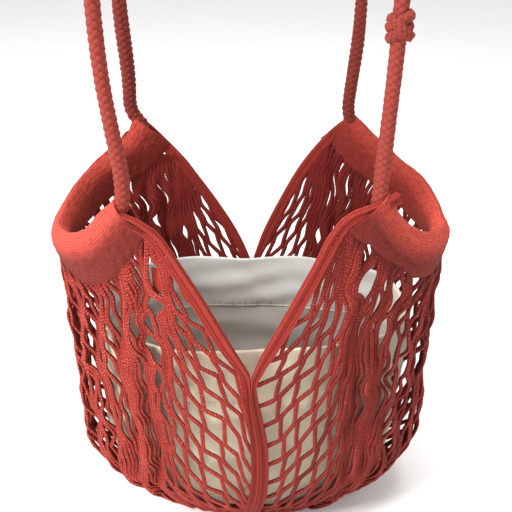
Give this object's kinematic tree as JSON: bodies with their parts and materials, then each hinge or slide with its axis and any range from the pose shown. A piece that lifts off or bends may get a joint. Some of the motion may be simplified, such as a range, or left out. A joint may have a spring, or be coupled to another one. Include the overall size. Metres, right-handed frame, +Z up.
{
  "type": "mesh produce bag",
  "caption": "Open-net cotton produce bag with deep V openings, tubular casings with braided strap loops, and a cotton liner pouch.",
  "frame": {"origin": "middle of the flat base, on the surface that the bag stands on", "axes": "+Z up; -Y is the front V opening; +X runs from the left strap to the right strap"},
  "size_m": [0.34, 0.1952, 0.605],
  "materials": {
    "net_yarn": "matte knitted cotton yarn",
    "band_knit": "matte knitted selvedge",
    "casing_knit": "matte dense knit",
    "braided_cord": "matte braided cotton cord",
    "liner_cloth": "matte woven cotton",
    "hem_cloth": "matte woven cotton, doubled",
    "sewing_thread": "matte cotton thread",
    "tag_cloth": "matte woven tape"
  },
  "bodies": {
    "bag": {"left_net_panel": "net_yarn", "right_net_panel": "net_yarn", "front_centre_seam": "band_knit", "back_centre_seam": "band_knit", "bottom_centre_seam": "band_knit", "left_front_edge_band": "band_knit", "right_front_edge_band": "band_knit", "left_back_edge_band": "band_knit", "right_back_edge_band": "band_knit", "left_handle_casing": "casing_knit", "right_handle_casing": "casing_knit", "left_strap_inner_run": "braided_cord", "right_strap_inner_run": "braided_cord", "liner_front_panel": "liner_cloth", "liner_back_panel": "liner_cloth", "liner_left_side_seam": "liner_cloth", "liner_right_side_seam": "liner_cloth", "liner_base": "liner_cloth", "liner_front_hem": "hem_cloth", "liner_back_hem": "hem_cloth", "liner_hem_stitching": "sewing_thread", "side_tag": "tag_cloth"},
    "left_strap_body": {"left_strap": "braided_cord", "left_strap_knot": "braided_cord"},
    "right_strap_body": {"right_strap": "braided_cord", "right_strap_knot": "braided_cord"}
  },
  "joints": [
    {"name": "left_strap_swing", "type": "hinge", "parent": "bag", "child": "left_strap_body", "pos_m": [-0.093, 0, 0.37], "axis": [0, -1, 0], "range_deg": [-20, 85]},
    {"name": "right_strap_swing", "type": "hinge", "parent": "bag", "child": "right_strap_body", "pos_m": [0.093, 0, 0.37], "axis": [0, 1, 0], "range_deg": [-20, 85]}
  ]
}
